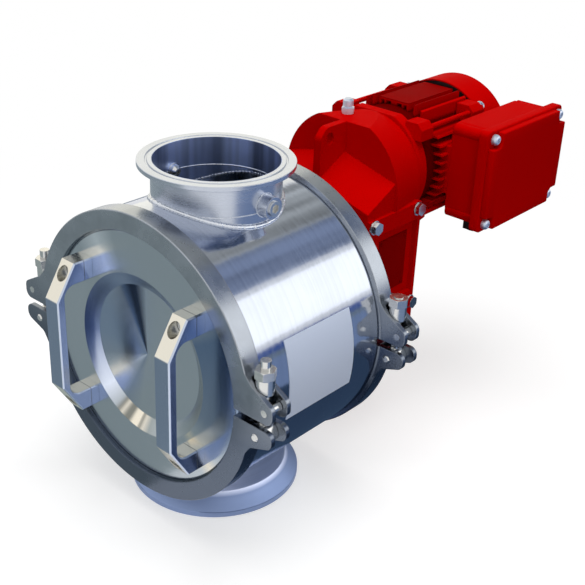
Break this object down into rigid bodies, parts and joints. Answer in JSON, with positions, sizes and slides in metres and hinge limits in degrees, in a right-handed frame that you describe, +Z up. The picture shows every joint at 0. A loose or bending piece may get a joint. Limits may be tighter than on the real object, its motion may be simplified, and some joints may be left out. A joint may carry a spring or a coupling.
{
  "type": "rotary airlock valve",
  "caption": "Stainless steel drop-through rotary airlock valve with clamped covers, red gear unit, finned motor and terminal box.",
  "frame": {"origin": "centre of the outlet ferrule's lower face, on the axis of both spouts", "axes": "+Z up along the spouts, +Y along the rotor from the front cover to the motor, +X to the terminal box side"},
  "size_m": [0.3554, 0.595, 0.3745],
  "materials": {
    "polished_stainless": "satin",
    "stainless_fittings": "machined",
    "machined_steel": "turned",
    "red_paint": "gloss enamel",
    "white_label": "satin film",
    "plate": "anodised",
    "rubber": "matte",
    "black_plastic": "moulded"
  },
  "bodies": {
    "housing": {"valve_housing": "polished_stainless", "inlet_spout": "polished_stainless", "outlet_spout": "polished_stainless", "spray_sockets": "polished_stainless", "front_clamp_upper": "polished_stainless", "front_clamp_lower": "polished_stainless", "rear_clamp_upper": "polished_stainless", "rear_clamp_lower": "polished_stainless", "rear_cover": "polished_stainless", "bearing_housing": "polished_stainless", "front_cover": "polished_stainless", "cover_handles": "polished_stainless", "socket_plug": "stainless_fittings", "spray_nozzle": "stainless_fittings", "handle_screws": "stainless_fittings", "clamp_pins": "stainless_fittings", "clamp_eye_bolts": "stainless_fittings", "bearing_housing_screws": "stainless_fittings", "nameplate_rivets": "stainless_fittings", "breather_plug": "stainless_fittings", "side_bolts": "stainless_fittings", "terminal_box_screws": "stainless_fittings", "fan_cover_screws": "stainless_fittings", "bearing_spacers": "machined_steel", "bearing_outer_rings": "machined_steel", "bearing_balls": "machined_steel", "stator_core": "machined_steel", "gear_case": "red_paint", "gear_case_front": "red_paint", "drive_end_shield": "red_paint", "rear_end_shield": "red_paint", "stator_housing": "red_paint", "fan_cover": "red_paint", "terminal_box": "red_paint", "terminal_box_lid": "red_paint", "tie_rods": "red_paint", "housing_label": "white_label", "nameplate": "plate", "cover_seals": "rubber", "terminal_block": "black_plastic", "output_shaft_cap": "black_plastic", "cable_gland": "black_plastic"},
    "rotor": {"rotor": "polished_stainless", "rotor_shaft": "machined_steel", "shaft_keys": "machined_steel", "rotor_fastening": "stainless_fittings", "rotor_inner_rings": "machined_steel", "hollow_output_shaft": "machined_steel", "output_gear": "machined_steel"},
    "layshaft": {"layshaft": "machined_steel", "layshaft_gear": "machined_steel", "layshaft_inner_rings": "machined_steel"},
    "motor_rotor": {"motor_rotor": "machined_steel", "motor_pinion": "machined_steel", "motor_inner_rings": "machined_steel", "fan": "black_plastic"},
    "front_left_sleeve_nut_body": {"front_left_sleeve_nut": "stainless_fittings"},
    "front_right_sleeve_nut_body": {"front_right_sleeve_nut": "stainless_fittings"},
    "rear_left_sleeve_nut_body": {"rear_left_sleeve_nut": "stainless_fittings"},
    "rear_right_sleeve_nut_body": {"rear_right_sleeve_nut": "stainless_fittings"}
  },
  "joints": [
    {"name": "rotor_spin", "type": "hinge", "parent": "housing", "child": "rotor", "pos_m": [0, 0, 0.182], "axis": [0, 1, 0], "continuous": true},
    {"name": "layshaft_spin", "type": "hinge", "parent": "housing", "child": "layshaft", "pos_m": [0, 0.19, 0.249], "axis": [0, 1, 0], "continuous": true},
    {"name": "motor_spin", "type": "hinge", "parent": "housing", "child": "motor_rotor", "pos_m": [0, 0.31, 0.294], "axis": [0, 1, 0], "continuous": true},
    {"name": "front_left_nut_lift", "type": "slide", "parent": "housing", "child": "front_left_sleeve_nut_body", "axis": [0, 0, 1], "range_m": [0, 0.008]},
    {"name": "front_right_nut_lift", "type": "slide", "parent": "housing", "child": "front_right_sleeve_nut_body", "axis": [0, 0, 1], "range_m": [0, 0.008]},
    {"name": "rear_left_nut_lift", "type": "slide", "parent": "housing", "child": "rear_left_sleeve_nut_body", "axis": [0, 0, 1], "range_m": [0, 0.008]},
    {"name": "rear_right_nut_lift", "type": "slide", "parent": "housing", "child": "rear_right_sleeve_nut_body", "axis": [0, 0, 1], "range_m": [0, 0.008]}
  ],
  "couplings": [
    {"joint": "layshaft_spin", "follows": "rotor_spin", "ratio": -5.0909},
    {"joint": "motor_spin", "follows": "rotor_spin", "ratio": 25.455}
  ]
}
